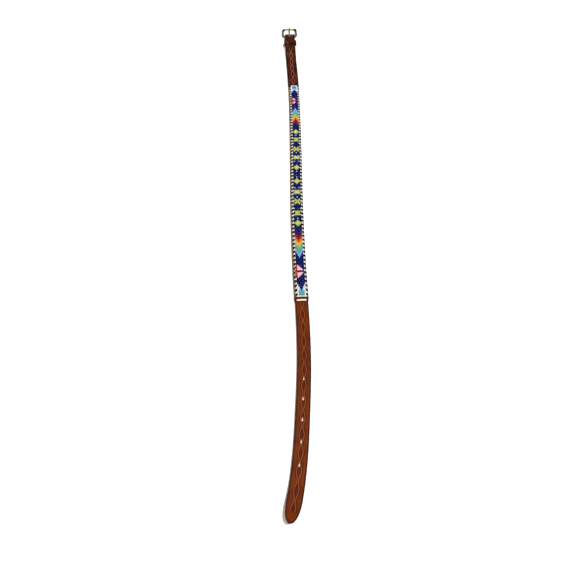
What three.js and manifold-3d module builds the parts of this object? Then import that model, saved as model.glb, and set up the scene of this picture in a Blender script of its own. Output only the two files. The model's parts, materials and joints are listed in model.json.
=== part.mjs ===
// A narrow leather belt with a loomed bead panel, laid flat. Millimetres, +Z up.
// The rounded tip is at the low end of Y and the buckle at the high end. The belt lies on z = 0.
// Each soft piece is made along a straight line and then carried onto the belt's gentle route.

import * as THREE from 'three';
import { mergeVertices } from 'three/addons/utils/BufferGeometryUtils.js';
import Module from 'manifold-3d';

// Driving dimensions: the strap
const STRAP_WIDTH = 18.6; // under the beads and at the buckle
const BILLET_WIDTH = 16.6; // at the tip's end
const NARROWING = 10; // length past the beads over which the strap narrows
const LEATHER = 2.4; // thickness of the tooled ends
const PANEL_LEATHER = 1.5; // thickness left under the bead panel
const FOLD_LEATHER = 1.8; // thickness where the leather is pared down to fold
const EDGE_BEVEL = 0.35;
const TIP_TO_PANEL = 274.5;
const PANEL_TO_BAR = 162;
const TAIL_LENGTH = 54; // turned-back end, measured from the buckle's bar
const PARED_LENGTH = 20; // stretch over which the leather thins towards the fold
const TIP_TAPER = 23;
const TIP_FULLNESS = 0.84; // 1 gives an ellipse, and less a blunter tip
const TIP_NOSE = 7; // angle in degrees at which the tip's ellipse is cut blunt
const TIP_LIFT = 6; // height that the tip curls off the surface
const TIP_LIFT_LENGTH = 50;
const TAIL_LAP = 1.5; // level run of the upper layer past the turned-back end
const TAIL_FALL = 17.5; // and the length over which it then comes down to the surface
const CLEARANCE = 0.3;

// Driving dimensions: holes and slots in the leather
const HOLE_COUNT = 5;
const HOLE_PITCH = 25;
const HOLE_LENGTH = 4.6;
const HOLE_WIDTH = 2.3;
const TIP_TO_HOLE = 59;
const SLIT_LENGTH = 13;
const SLIT_WIDTH = 2.9;
const SLIT_TO_PANEL = 4.6; // middle of the slit from the bead panel's end
const SLOT_BEHIND_BAR = 11; // reach of the prong's slot in the upper layer
const SLOT_UNDER_BAR = 5; // and in the turned-back layer

// Driving dimensions: the beads
const PANEL_WIDTH = 16.8;
const PANEL_ASIDE = 0.8; // the weave is sewn on nearer the right edge
const BEAD_ROWS = 256;
const ROW_PITCH = 1.786;
const BEAD_HEIGHT = 1.8;
const BEAD_BEVEL = 0.45;
const THREAD_PROUD = 0.2; // height of the white threads over the leather round their slit

// Driving dimensions: the keeper
const KEEPER_BEHIND_BAR = 27.5;
const KEEPER_WIDTH = 12;
const KEEPER_LEATHER = 1.2;
const KEEPER_SIDE_ROOM = 1; // the empty loop lies flat and bulges at its sides
const KEEPER_ROOM = 0.9; // over the strap at the loop's sides
const KEEPER_CROWN = 0.3; // further rise at the loop's middle
const KEEPER_CORNER = 2.2;
const KEEPER_LEAD = 6; // run on the buckle's side over which the strap comes level
const KEEPER_LAP = 1; // level run past the keeper's other rim
const KEEPER_FALL = 8; // and the length over which the strap then comes down to its tail

// Driving dimensions: the buckle
const BAR_RADIUS = 1.25;
const WINDOW_SIDE_GAP = 1.9; // between the strap's edge and the side rail
const SIDE_RAIL = 3;
const FAR_RAIL = 4.6;
const RAIL_THICKNESS = 3.4;
const BAR_TO_FAR_EDGE = 29;
const FAR_CORNER = 5.4;
const HEEL_CORNER = 3;
const HEEL_BLEND = 5; // length over which the round bar grows into the side rail
const FAR_BLEND = 8; // and the side rail into the far rail
const SURFACE_GAP = 0.05; // under the far rail, where the buckle rests
const PRONG_WIDTH = 1.9;
const PRONG_THICKNESS = 1.1;
const PRONG_OVERHANG = 1.2; // reach of the prong past the far rail
const PRONG_BEVEL = 0.25;
const PRONG_DIP = 0.5; // drop of the prong's tip past the far rail
const LEG_UNDER = 0.55; // height at which the leg's underside leaves the eye, as a share of its radius
const LEG_OVER = [0.5, 0.98]; // and where its upper side does, in front and above

// How finely round things are stepped
const STATION_STEP = 17;
const RAMP_STEP = 2.5;
const SEAT_STEP = 0.1; // length of the step down to the bead panel's seat
const TIP_STEPS = 9;
const FOLD_STEPS = 8;
const RING_STEPS = 60;
const SECTION_SIDES = 10;
const BORE_SIDES = 20;
const LEG_STEPS = 10;
const MERGE_DISTANCE = 1e-4;

// Places along the belt
const panelStart = TIP_TO_PANEL;
const panelLength = BEAD_ROWS * ROW_PITCH;
const panelEnd = panelStart + panelLength;
const barY = panelEnd + PANEL_TO_BAR;
const seatGap = 2 * CLEARANCE; // from the beads to the step in the leather
const seatStart = panelStart - seatGap;
const seatEnd = panelEnd + seatGap;
const narrowStart = panelStart - NARROWING;
const foldInner = BAR_RADIUS + CLEARANCE;
const barZ = FOLD_LEATHER + foldInner;

// The belt's route over the surface. along is the share of the way from the bar to the tip, and
// aside is the shift along X in billet widths. The buckle's end is straight.
const ROUTE = [
  { along: 0.0, aside: 0.0 },
  { along: 0.08, aside: 0.0 },
  { along: 0.16, aside: 0.067 },
  { along: 0.27, aside: 0.023 },
  { along: 0.4, aside: -0.142 },
  { along: 0.52, aside: -0.317 },
  { along: 0.64, aside: -0.38 },
  { along: 0.74, aside: -0.34 },
  { along: 0.8, aside: -0.419 },
  { along: 0.86, aside: -0.647 },
  { along: 0.93, aside: -1.03 },
  { along: 0.97, aside: -1.4 },
  { along: 1.0, aside: -1.79 },
];

const wasm = await Module();
wasm.setup();

// The closed solid of a geometry, for joining and cutting
function solidOf(geometry) {
  const bare = geometry.clone();
  bare.deleteAttribute('normal');
  bare.deleteAttribute('uv');
  const merged = mergeVertices(bare, MERGE_DISTANCE);
  const mesh = new wasm.Mesh({
    numProp: 3,
    vertProperties: new Float32Array(merged.attributes.position.array),
    triVerts: new Uint32Array(merged.index.array),
  });
  return new wasm.Manifold(mesh);
}

function geometryOf(solid) {
  const mesh = solid.getMesh();
  const geometry = new THREE.BufferGeometry();
  geometry.setAttribute('position', new THREE.BufferAttribute(mesh.vertProperties, 3));
  geometry.setIndex(new THREE.BufferAttribute(mesh.triVerts, 1));
  return geometry;
}

// Route: the shift along X at a place on Y, and the belt's turn about Z there
const routeCurve = new THREE.CubicInterpolant(
  ROUTE.map((row) => row.along * barY),
  ROUTE.map((row) => row.aside * BILLET_WIDTH),
  1,
);

function shiftAt(y) {
  const along = THREE.MathUtils.clamp(barY - y, 0, barY);
  return routeCurve.evaluate(along)[0];
}

function turnAt(y) {
  const step = 1;
  return Math.atan2(shiftAt(y - step) - shiftAt(y + step), 2 * step);
}

// The point of the laid belt for a point of the straight one
function laid(across, y, z) {
  const turn = turnAt(y);
  return [shiftAt(y) + across * Math.cos(turn), y + across * Math.sin(turn), z];
}

// A strip swept through stations in the YZ plane, then laid along the route. A station has its
// middle (y, z), its outward thickness direction (ny, nz), its width, its thickness and, where it
// isn't centred, its middle's place across the belt (aside).
function sweptStrip(stations, bevel) {
  const halfWidth = STRAP_WIDTH / 2;
  const halfLeather = LEATHER / 2;
  const section = new THREE.Shape([
    new THREE.Vector2(-halfWidth + bevel, -halfLeather),
    new THREE.Vector2(halfWidth - bevel, -halfLeather),
    new THREE.Vector2(halfWidth, -halfLeather + bevel),
    new THREE.Vector2(halfWidth, halfLeather - bevel),
    new THREE.Vector2(halfWidth - bevel, halfLeather),
    new THREE.Vector2(-halfWidth + bevel, halfLeather),
    new THREE.Vector2(-halfWidth, halfLeather - bevel),
    new THREE.Vector2(-halfWidth, -halfLeather + bevel),
  ]);
  const steps = stations.length - 1;
  const options = { depth: steps, steps, bevelEnabled: false };
  const geometry = new THREE.ExtrudeGeometry(section, options);
  const position = geometry.attributes.position;
  for (let i = 0; i < position.count; i += 1) {
    const station = stations[Math.round(position.getZ(i))];
    const u = position.getX(i);
    const w = position.getY(i);
    const across = u - Math.sign(u) * (halfWidth - station.width / 2);
    const out = w - Math.sign(w) * (halfLeather - station.thickness / 2);
    const y = station.y + out * station.ny;
    const z = station.z + out * station.nz;
    position.setXYZ(i, ...laid((station.aside ?? 0) - across, y, z));
  }
  return geometry;
}

// Smooth passage through a table of heights, each held at its distance behind the bar
function heightBehind(distance, table) {
  for (let i = 1; i < table.length; i += 1) {
    const before = table[i - 1];
    const after = table[i];
    if (distance <= after.behind) {
      const share = THREE.MathUtils.smoothstep(distance, before.behind, after.behind);
      return THREE.MathUtils.lerp(before.height, after.height, share);
    }
  }
  return table[table.length - 1].height;
}

// Strap: one strip of leather, from the tip over the panel's seat, up over its own turned-back
// end, round the buckle's bar and back underneath
const overTail = FOLD_LEATHER + CLEARANCE;
const overKeeper = overTail + KEEPER_LEATHER + CLEARANCE;
const keeperEdge = KEEPER_WIDTH / 2;
const UNDERSIDE = [
  { behind: 0, height: FOLD_LEATHER + 2 * foldInner },
  { behind: KEEPER_BEHIND_BAR - keeperEdge - KEEPER_LEAD, height: overKeeper },
  { behind: KEEPER_BEHIND_BAR + keeperEdge + KEEPER_LAP, height: overKeeper },
  { behind: KEEPER_BEHIND_BAR + keeperEdge + KEEPER_LAP + KEEPER_FALL, height: overTail },
  { behind: TAIL_LENGTH + TAIL_LAP, height: overTail },
  { behind: TAIL_LENGTH + TAIL_LAP + TAIL_FALL, height: 0 },
];

function widthAt(y) {
  if (y >= TIP_TAPER) {
    const share = THREE.MathUtils.smoothstep(y, narrowStart, seatStart);
    return THREE.MathUtils.lerp(BILLET_WIDTH, STRAP_WIDTH, share);
  }
  const angle = Math.acos(1 - y / TIP_TAPER);
  return BILLET_WIDTH * Math.sin(Math.max(angle, THREE.MathUtils.degToRad(TIP_NOSE))) ** TIP_FULLNESS;
}

function tipLiftAt(y) {
  const share = Math.max(0, 1 - y / TIP_LIFT_LENGTH);
  return TIP_LIFT * share * share;
}

function leatherAt(y) {
  const step = SEAT_STEP / 2;
  if (y > seatStart - step && y < seatEnd + step) return PANEL_LEATHER;
  const share = THREE.MathUtils.smoothstep(barY - y, 0, PARED_LENGTH);
  return THREE.MathUtils.lerp(FOLD_LEATHER, LEATHER, share);
}

// Evenly spaced places from one place to another, the first left out
function placesTo(from, to, step) {
  const count = Math.max(1, Math.ceil((to - from) / step));
  return Array.from({ length: count }, (_, i) => from + ((to - from) * (i + 1)) / count);
}

function runPlaces() {
  const nose = THREE.MathUtils.degToRad(TIP_NOSE);
  const tip = Array.from({ length: TIP_STEPS + 1 }, (_, i) => {
    const angle = THREE.MathUtils.lerp(nose, Math.PI / 2, i / TIP_STEPS);
    return TIP_TAPER * (1 - Math.cos(angle));
  });
  const rampStart = barY - UNDERSIDE[UNDERSIDE.length - 1].behind;
  return [
    ...tip,
    ...placesTo(TIP_TAPER, narrowStart, STATION_STEP),
    ...placesTo(narrowStart, seatStart - SEAT_STEP, RAMP_STEP),
    seatStart,
    ...placesTo(seatStart, seatEnd, STATION_STEP),
    seatEnd + SEAT_STEP,
    ...placesTo(seatEnd + SEAT_STEP, rampStart, STATION_STEP),
    ...placesTo(rampStart, barY - FOLD_LEATHER, RAMP_STEP),
  ];
}

function strapStations() {
  const upper = runPlaces().map((y) => {
    const thickness = leatherAt(y);
    const base = heightBehind(barY - y, UNDERSIDE) + tipLiftAt(y);
    return { y, z: base + thickness / 2, thickness, width: widthAt(y) };
  });
  upper.forEach((station, i) => {
    const before = upper[Math.max(i - 1, 0)];
    const after = upper[Math.min(i + 1, upper.length - 1)];
    const atSeat = station.y <= seatEnd + SEAT_STEP;
    const flat = atSeat && before.thickness !== after.thickness;
    const rise = flat ? 0 : Math.atan2(after.z - before.z, after.y - before.y);
    station.ny = -Math.sin(rise);
    station.nz = Math.cos(rise);
  });
  const foldMiddle = foldInner + FOLD_LEATHER / 2;
  const fold = Array.from({ length: FOLD_STEPS + 1 }, (_, i) => {
    const angle = Math.PI / 2 - (Math.PI * i) / FOLD_STEPS;
    const ny = Math.cos(angle);
    const nz = Math.sin(angle);
    const y = barY + foldMiddle * ny;
    const z = barZ + foldMiddle * nz;
    return { y, z, ny, nz, thickness: FOLD_LEATHER, width: STRAP_WIDTH };
  });
  const tail = placesTo(0, TAIL_LENGTH, STATION_STEP).map((back) => ({
    y: barY - back,
    z: FOLD_LEATHER / 2,
    ny: 0,
    nz: -1,
    thickness: FOLD_LEATHER,
    width: STRAP_WIDTH,
  }));
  return [...upper, ...fold, ...tail];
}

// A slot with round ends, standing along Z, its length along Y unless turned
function slotCutter(length, width, bottom, top) {
  const radius = width / 2;
  const reach = length / 2 - radius;
  const outline = new THREE.Shape();
  outline.absarc(0, reach, radius, 0, Math.PI);
  outline.absarc(0, -reach, radius, Math.PI, 2 * Math.PI);
  const options = { depth: top - bottom, bevelEnabled: false, curveSegments: 6 };
  return new THREE.ExtrudeGeometry(outline, options).translate(0, 0, bottom);
}

function atPlace(geometry, y, extraTurn = 0) {
  geometry.rotateZ(turnAt(y) + extraTurn);
  return geometry.translate(shiftAt(y), y, 0);
}

const BELOW = -5;
const ABOVE = 20;
const slitY = panelStart - SLIT_TO_PANEL;

function makeStrap() {
  let strap = solidOf(sweptStrip(strapStations(), EDGE_BEVEL));
  for (let i = 0; i < HOLE_COUNT; i += 1) {
    const hole = slotCutter(HOLE_LENGTH, HOLE_WIDTH, BELOW, ABOVE);
    strap = strap.subtract(solidOf(atPlace(hole, TIP_TO_HOLE + i * HOLE_PITCH)));
  }
  const slit = slotCutter(SLIT_LENGTH, SLIT_WIDTH, BELOW, ABOVE);
  strap = strap.subtract(solidOf(atPlace(slit, slitY, Math.PI / 2)));
  const slotWidth = PRONG_WIDTH + 2 * CLEARANCE;
  const slotFront = 2 * (foldInner + FOLD_LEATHER);
  const upperLength = SLOT_BEHIND_BAR + slotFront;
  const upperSlot = slotCutter(upperLength, slotWidth, barZ, ABOVE);
  strap = strap.subtract(solidOf(atPlace(upperSlot, barY + slotFront - upperLength / 2)));
  const lowerLength = SLOT_UNDER_BAR + slotFront;
  const lowerSlot = slotCutter(lowerLength, slotWidth, BELOW, barZ);
  strap = strap.subtract(solidOf(atPlace(lowerSlot, barY + slotFront - lowerLength / 2)));
  return geometryOf(strap);
}

// Bead panel: the loomed beads as one slab on the pared leather
function makeBeadPanel() {
  const places = [panelStart, ...placesTo(panelStart, panelEnd, STATION_STEP)];
  const stations = places.map((y) => ({
    y,
    z: PANEL_LEATHER + CLEARANCE + BEAD_HEIGHT / 2,
    ny: 0,
    nz: 1,
    thickness: BEAD_HEIGHT,
    width: PANEL_WIDTH,
    aside: PANEL_ASIDE,
  }));
  return sweptStrip(stations, BEAD_BEVEL);
}

// Thread bar: the panel's white warp threads, drawn through the slit past its end
function makeThreadBar() {
  const length = SLIT_LENGTH - 2 * CLEARANCE;
  const width = SLIT_WIDTH - 2 * CLEARANCE;
  const bar = slotCutter(length, width, CLEARANCE, LEATHER + THREAD_PROUD);
  return atPlace(bar, slitY, Math.PI / 2);
}

// Keeper: a leather loop round the strap's upper layer, its back between the two layers
function keeperOutline(halfWidth, bottom, side, crown, corner) {
  const outline = new THREE.Shape();
  outline.moveTo(-halfWidth + corner, bottom);
  outline.lineTo(halfWidth - corner, bottom);
  outline.absarc(halfWidth - corner, bottom + corner, corner, -Math.PI / 2, 0);
  outline.lineTo(halfWidth, side - corner);
  outline.absarc(halfWidth - corner, side - corner, corner, 0, Math.PI / 2);
  outline.quadraticCurveTo(0, side + 2 * crown, -halfWidth + corner, side);
  outline.absarc(-halfWidth + corner, side - corner, corner, Math.PI / 2, Math.PI);
  outline.lineTo(-halfWidth, bottom + corner);
  outline.absarc(-halfWidth + corner, bottom + corner, corner, Math.PI, 1.5 * Math.PI);
  return outline;
}

function makeKeeper() {
  const innerHalf = STRAP_WIDTH / 2 + KEEPER_SIDE_ROOM;
  const innerBottom = overTail + KEEPER_LEATHER;
  const innerSide = overKeeper + LEATHER + KEEPER_ROOM;
  const inner = keeperOutline(innerHalf, innerBottom, innerSide, KEEPER_CROWN, EDGE_BEVEL);
  const outer = keeperOutline(
    innerHalf + KEEPER_LEATHER,
    innerBottom - KEEPER_LEATHER,
    innerSide + KEEPER_LEATHER,
    KEEPER_CROWN,
    KEEPER_CORNER,
  );
  outer.holes.push(inner);
  const options = { depth: KEEPER_WIDTH, bevelEnabled: false, curveSegments: 5 };
  const loop = new THREE.ExtrudeGeometry(outer, options);
  loop.rotateX(Math.PI / 2);
  return loop.translate(0, keeperEdge, 0);
}

// Buckle: drawn flat round its bar at (0, 0), with the far rail at high Y
const railX = STRAP_WIDTH / 2 + WINDOW_SIDE_GAP + SIDE_RAIL / 2;
const farY = BAR_TO_FAR_EDGE - FAR_RAIL / 2;

function ringPath() {
  const path = new THREE.Path();
  path.moveTo(0, 0);
  path.lineTo(railX - HEEL_CORNER, 0);
  path.absarc(railX - HEEL_CORNER, HEEL_CORNER, HEEL_CORNER, -Math.PI / 2, 0);
  path.lineTo(railX, farY - FAR_CORNER);
  path.absarc(railX - FAR_CORNER, farY - FAR_CORNER, FAR_CORNER, 0, Math.PI / 2);
  path.lineTo(-railX + FAR_CORNER, farY);
  path.absarc(-railX + FAR_CORNER, farY - FAR_CORNER, FAR_CORNER, Math.PI / 2, Math.PI);
  path.lineTo(-railX, HEEL_CORNER);
  path.absarc(-railX + HEEL_CORNER, HEEL_CORNER, HEEL_CORNER, Math.PI, 1.5 * Math.PI);
  path.lineTo(0, 0);
  return path;
}

// Half width and half thickness of the ring's section, growing from the round bar to the far rail
function ringSection(y) {
  const toSide = THREE.MathUtils.smoothstep(y, 0, HEEL_BLEND);
  const toFar = THREE.MathUtils.smoothstep(y, farY - FAR_BLEND, farY);
  const side = THREE.MathUtils.lerp(BAR_RADIUS, SIDE_RAIL / 2, toSide);
  return {
    half: THREE.MathUtils.lerp(side, FAR_RAIL / 2, toFar),
    thick: THREE.MathUtils.lerp(BAR_RADIUS, RAIL_THICKNESS / 2, toSide),
  };
}

function makeBuckleFrame() {
  const points = ringPath().getSpacedPoints(RING_STEPS);
  const geometry = new THREE.TorusGeometry(1, 0.5, SECTION_SIDES, RING_STEPS);
  const position = geometry.attributes.position;
  for (let k = 0; k < position.count; k += 1) {
    const i = (k % (RING_STEPS + 1)) % RING_STEPS;
    const j = Math.floor(k / (RING_STEPS + 1)) % SECTION_SIDES;
    const middle = points[i];
    const ahead = points[(i + 1) % RING_STEPS];
    const back = points[(i + RING_STEPS - 1) % RING_STEPS];
    const way = ahead.clone().sub(back).normalize();
    const { half, thick } = ringSection(middle.y);
    const angle = (2 * Math.PI * j) / SECTION_SIDES;
    const out = half * Math.cos(angle);
    const x = middle.x + out * way.y;
    const y = middle.y - out * way.x;
    position.setXYZ(k, x, y, thick * Math.sin(angle));
  }
  return geometry;
}

// Prong: flat wire with a closed eye round the bar, lying over the far rail
function makeProng() {
  const eyeInner = foldInner;
  const eyeOuter = eyeInner + PRONG_THICKNESS;
  const railTop = RAIL_THICKNESS / 2 + CLEARANCE;
  const reach = BAR_TO_FAR_EDGE + PRONG_OVERHANG;
  const under = new THREE.SplineCurve([
    new THREE.Vector2(eyeInner, eyeInner * LEG_UNDER),
    new THREE.Vector2(farY / 2, railTop + CLEARANCE),
    new THREE.Vector2(farY, railTop),
    new THREE.Vector2(reach, railTop - PRONG_DIP),
  ]);
  const over = new THREE.SplineCurve([
    new THREE.Vector2(reach, railTop + PRONG_THICKNESS - PRONG_DIP),
    new THREE.Vector2(farY, railTop + PRONG_THICKNESS),
    new THREE.Vector2(farY / 2, railTop + CLEARANCE + PRONG_THICKNESS),
    new THREE.Vector2(eyeOuter * LEG_OVER[0], eyeOuter * LEG_OVER[1]),
  ]);
  const leg = new THREE.Shape([...under.getPoints(LEG_STEPS), ...over.getPoints(LEG_STEPS)]);
  const across = PRONG_WIDTH - 2 * PRONG_BEVEL;
  const options = {
    depth: across,
    bevelThickness: PRONG_BEVEL,
    bevelSize: PRONG_BEVEL,
    bevelOffset: -PRONG_BEVEL,
    bevelSegments: 1,
    curveSegments: 16,
  };
  const ring = new THREE.Shape();
  ring.absarc(0, 0, eyeOuter, 0, 2 * Math.PI);
  const legSolid = solidOf(new THREE.ExtrudeGeometry(leg, options));
  const ringSolid = solidOf(new THREE.ExtrudeGeometry(ring, options));
  const bore = new THREE.CylinderGeometry(eyeInner, eyeInner, 4 * PRONG_WIDTH, BORE_SIDES);
  const eye = ringSolid.add(legSolid).subtract(solidOf(bore.rotateX(Math.PI / 2)));
  const geometry = geometryOf(eye);
  geometry.translate(0, 0, -across / 2);
  // The outline was drawn in XY: turn its X along the belt and its Y up
  geometry.applyMatrix4(new THREE.Matrix4().set(0, 0, 1, 0, 1, 0, 0, 0, 0, 1, 0, 0, 0, 0, 0, 1));
  return geometry;
}

// Materials
function finish(color, roughness, metalness) {
  return new THREE.MeshStandardMaterial({ color, roughness, metalness });
}

const tooledLeather = finish(0x7a3a1a, 0.55, 0);
const glassBeads = finish(0x14206e, 0.25, 0);
const whiteThread = finish(0xf1ece2, 0.9, 0);
const palePlate = finish(0xcfc29a, 0.25, 1);

function named(name, geometry, material) {
  const mesh = new THREE.Mesh(geometry, material);
  mesh.name = name;
  return mesh;
}

// Assembly
const belt = new THREE.Group();
belt.add(named('strap', makeStrap(), tooledLeather));
belt.add(named('bead_panel', makeBeadPanel(), glassBeads));
belt.add(named('thread_bar', makeThreadBar(), whiteThread));

const keeper = named('keeper_loop', makeKeeper(), tooledLeather);
keeper.position.set(shiftAt(barY), barY - KEEPER_BEHIND_BAR, 0);
belt.add(keeper);

// The buckle droops from its bar until the far rail meets the surface
const farReach = Math.hypot(farY, RAIL_THICKNESS / 2);
const farAngle = Math.atan2(RAIL_THICKNESS / 2, farY);
const droop = Math.asin((barZ - SURFACE_GAP) / farReach) - farAngle;
const buckle = new THREE.Group();
buckle.add(named('buckle_frame', makeBuckleFrame(), palePlate));
buckle.add(named('buckle_prong', makeProng(), palePlate));
buckle.position.set(shiftAt(barY), barY, barZ);
buckle.rotation.x = -droop;
belt.add(buckle);

// The origin is under the middle of the belt's box
belt.updateMatrixWorld(true);
const box = new THREE.Box3().setFromObject(belt, true);
const middle = box.getCenter(new THREE.Vector3());
belt.position.set(-middle.x, -middle.y, -box.min.z);

export default belt;
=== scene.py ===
import json
import math

import bmesh
import bpy
import numpy as np
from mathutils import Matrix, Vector


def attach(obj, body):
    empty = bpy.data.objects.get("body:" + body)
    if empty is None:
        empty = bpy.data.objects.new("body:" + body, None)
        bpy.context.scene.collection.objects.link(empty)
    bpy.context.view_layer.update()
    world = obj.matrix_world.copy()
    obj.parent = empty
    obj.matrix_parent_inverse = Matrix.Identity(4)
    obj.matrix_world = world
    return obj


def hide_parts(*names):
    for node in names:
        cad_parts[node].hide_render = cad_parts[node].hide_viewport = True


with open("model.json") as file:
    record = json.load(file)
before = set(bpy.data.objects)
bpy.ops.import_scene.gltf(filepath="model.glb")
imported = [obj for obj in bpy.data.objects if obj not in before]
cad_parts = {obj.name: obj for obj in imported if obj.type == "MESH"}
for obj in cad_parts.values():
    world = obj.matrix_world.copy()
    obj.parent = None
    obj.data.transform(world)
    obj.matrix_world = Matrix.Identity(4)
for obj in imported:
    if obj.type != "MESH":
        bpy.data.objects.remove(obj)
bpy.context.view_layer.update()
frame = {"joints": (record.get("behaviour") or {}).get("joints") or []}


# Strap
# One strip of leather, tooled down its middle with a chain of lens-shaped links and dyed dark at its
# edges. It is thinned under the beads and where it folds round the buckle's bar, and its turned-back
# end is sewn to it behind the keeper. Sizes are in millimetres, and behind is measured from the bar.

MM = 0.001
BAR = Vector(frame["joints"][0]["pos_m"]) / MM
STRAP_WIDTH = 18.6
HALF_WIDTH = STRAP_WIDTH / 2
BILLET_WIDTH = 16.6
NARROWING = 10
LEATHER = 2.4
PANEL_LEATHER = 1.5
FOLD_LEATHER = 1.8
PARED_LENGTH = 20
BEAD_ROWS = 256
ROW_PITCH = 1.786
PANEL_FROM = 162
PANEL_TO = PANEL_FROM + BEAD_ROWS * ROW_PITCH
TIP = PANEL_TO + 274.5
TAIL_LENGTH = 54
TIP_TAPER = 23
TIP_FULLNESS = 0.84
TIP_NOSE = math.radians(7)
TIP_LIFT = 6
TIP_LIFT_LENGTH = 50
BAR_RADIUS = 1.25
CLEARANCE = 0.3
SEAT_MARGIN = 2 * CLEARANCE
FOLD_INNER = BAR_RADIUS + CLEARANCE

# The belt's route: share of the way from the bar to the tip, and shift along X in billet widths
ROUTE = np.array([
    (0.0, 0.0), (0.08, 0.0), (0.16, 0.067), (0.27, 0.023), (0.4, -0.142), (0.52, -0.317),
    (0.64, -0.38), (0.74, -0.34), (0.8, -0.419), (0.86, -0.647), (0.93, -1.03), (0.97, -1.4),
    (1.0, -1.79),
])
# Height of the strap's underside at each distance behind the bar
UNDERSIDE = np.array([(0, 4.9), (15.5, 3.6), (34.5, 3.6), (42.5, 2.1), (55.5, 2.1), (73, 0)])
# Less than this apart counts as touching
HAIR = 0.02


def smoothstep(value, low, high):
    share = np.clip((value - low) / (high - low), 0, 1)
    return share * share * (3 - 2 * share)


def shift_at(behind):
    along, aside = ROUTE[:, 0] * TIP, ROUTE[:, 1] * BILLET_WIDTH
    secant = np.diff(aside) / np.diff(along)
    slope = np.concatenate([secant[:1], (secant[1:] + secant[:-1]) / 2, secant[-1:]])
    place = np.clip(behind, 0, TIP)
    i = np.clip(np.searchsorted(along, place, side="right") - 1, 0, len(secant) - 1)
    span = along[i + 1] - along[i]
    p = (place - along[i]) / span
    return (
        (2 * p**3 - 3 * p**2 + 1) * aside[i]
        + (p**3 - 2 * p**2 + p) * span * slope[i]
        + (3 * p**2 - 2 * p**3) * aside[i + 1]
        + (p**3 - p**2) * span * slope[i + 1]
    )


def turn_at(behind):
    return np.arctan2(shift_at(behind + 1) - shift_at(behind - 1), 2.0)


def laid(across, behind, height):
    """Points in metres of the laid belt, for points of the straight one."""
    turn = turn_at(behind)
    x = BAR.x + shift_at(behind) + across * np.cos(turn)
    y = BAR.y - behind + across * np.sin(turn)
    return np.stack([x, y, height + 0 * x], axis=-1) * MM


def unlaid(points):
    """How far across the belt and behind the bar each point in metres lies."""
    x, y = points[:, 0] / MM, points[:, 1] / MM
    behind = BAR.y - y
    for _ in range(3):
        turn = turn_at(behind)
        across = (x - BAR.x - shift_at(behind)) / np.cos(turn)
        behind = BAR.y - y + across * np.sin(turn)
    return across, behind


def strip_section(half_width, thickness, bevel, columns):
    """A strip's cut end as a ring of points: the outer face from left to right, then the inner."""
    corner = np.linspace(0, math.pi / 2, 4)
    inset = bevel * (1 - np.sin(corner))
    drop = bevel * (1 - np.cos(corner))
    top = np.linspace(-half_width + bevel, half_width - bevel, columns + 1)[1:-1]
    base = np.linspace(half_width - bevel, -half_width + bevel, 7)[1:-1]
    u = np.concatenate([
        -half_width + inset[::-1], top, half_width - inset,
        half_width - inset[::-1], base, -half_width + inset,
    ])
    half = thickness / 2
    w = np.concatenate([
        half - drop[::-1], top * 0 + half, half - drop,
        -half + drop[::-1], base * 0 - half, -half + drop,
    ])
    return u, w


def mesh_piece(name, points, faces, materials):
    """A smooth-shaded object from arrays of points and faces, its normals turned outwards."""
    mesh = bpy.data.meshes.new(name)
    mesh.from_pydata(points.reshape(-1, 3), [], faces)
    work = bmesh.new()
    work.from_mesh(mesh)
    bmesh.ops.recalc_face_normals(work, faces=work.faces)
    work.to_mesh(mesh)
    work.free()
    mesh.shade_smooth()
    mesh.set_sharp_from_angle(angle=math.radians(50))
    for material in materials:
        mesh.materials.append(material)
    piece = bpy.data.objects.new(name, mesh)
    bpy.context.scene.collection.objects.link(piece)
    return piece


def lattice_faces(rings, sides, closed):
    """Quads over rings of points, with an end face at both ends unless the rings close."""
    i, j = np.meshgrid(np.arange(rings if closed else rings - 1), np.arange(sides), indexing="ij")
    ahead, beside = (i + 1) % rings, (j + 1) % sides
    quads = np.stack([i * sides + j, i * sides + beside, ahead * sides + beside, ahead * sides + j], -1)
    faces = quads.reshape(-1, 4).tolist()
    if not closed:
        faces += [list(range(sides)), list(range((rings - 1) * sides, rings * sides))]
    return faces


def set_mask(piece, name, values):
    layer = piece.data.attributes.new(name, "FLOAT", "POINT")
    layer.data.foreach_set("value", np.asarray(values, np.float32))


class Link:
    """One output of a finish's nodes. Arithmetic on it adds Math nodes."""

    def __init__(self, finish, socket):
        self.finish = finish
        self.socket = socket

    def math(self, operation, *values):
        inputs = dict(enumerate(values))
        return self.finish.node("ShaderNodeMath", {"operation": operation}, inputs)

    def __add__(self, other):
        return self.math("ADD", self, other)

    def __radd__(self, other):
        return self.math("ADD", other, self)

    def __rsub__(self, other):
        return self.math("SUBTRACT", other, self)

    def __mul__(self, other):
        return self.math("MULTIPLY", self, other)

    def __rmul__(self, other):
        return self.math("MULTIPLY", other, self)

    def clamp(self):
        return self.math("MAXIMUM", self.math("MINIMUM", self, 1.0), 0.0)


def tint(code):
    """A colour written as it looks on screen, such as 8a4a22, in the linear values of a shader."""
    parts = [int(code[i:i + 2], 16) / 255 for i in (0, 2, 4)]
    return tuple(p / 12.92 if p <= 0.04045 else ((p + 0.055) / 1.055) ** 2.4 for p in parts) + (1.0,)


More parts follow.
